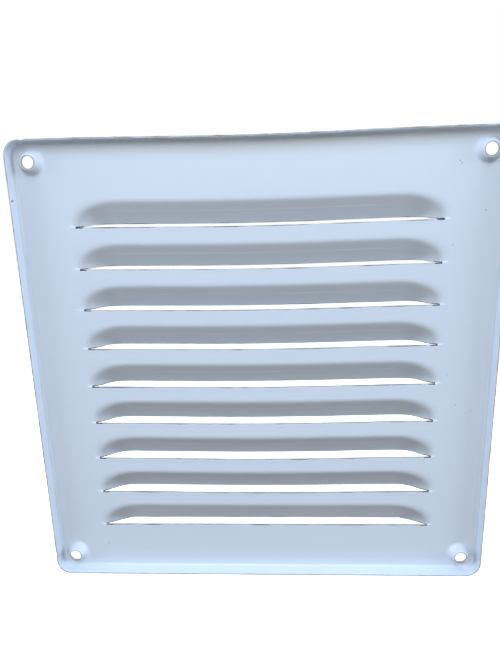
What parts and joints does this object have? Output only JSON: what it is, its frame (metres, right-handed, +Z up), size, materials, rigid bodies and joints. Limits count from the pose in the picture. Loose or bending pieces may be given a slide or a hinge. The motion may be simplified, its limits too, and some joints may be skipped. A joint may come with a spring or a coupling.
{
  "type": "louvred grille",
  "caption": "Square wall vent pressed from one painted steel sheet, with hooded louvre slots that shed rain, a turned-back rim and dimpled screw holes in the corners.",
  "frame": {"origin": "centre of the four fixing holes, on the plane of their dimples' tips; the wall is 1.5 mm behind it, where the rim's free edge lies", "axes": "+X across the grille, +Z up, +Y backwards into the wall; the louvred front faces -Y"},
  "size_m": [0.2, 0.0121, 0.2],
  "materials": {
    "painted_steel": "glossy white enamel over thin steel sheet, raw at the sheared edges"
  },
  "bodies": {
    "root": {"grille": "painted_steel"}
  },
  "joints": []
}
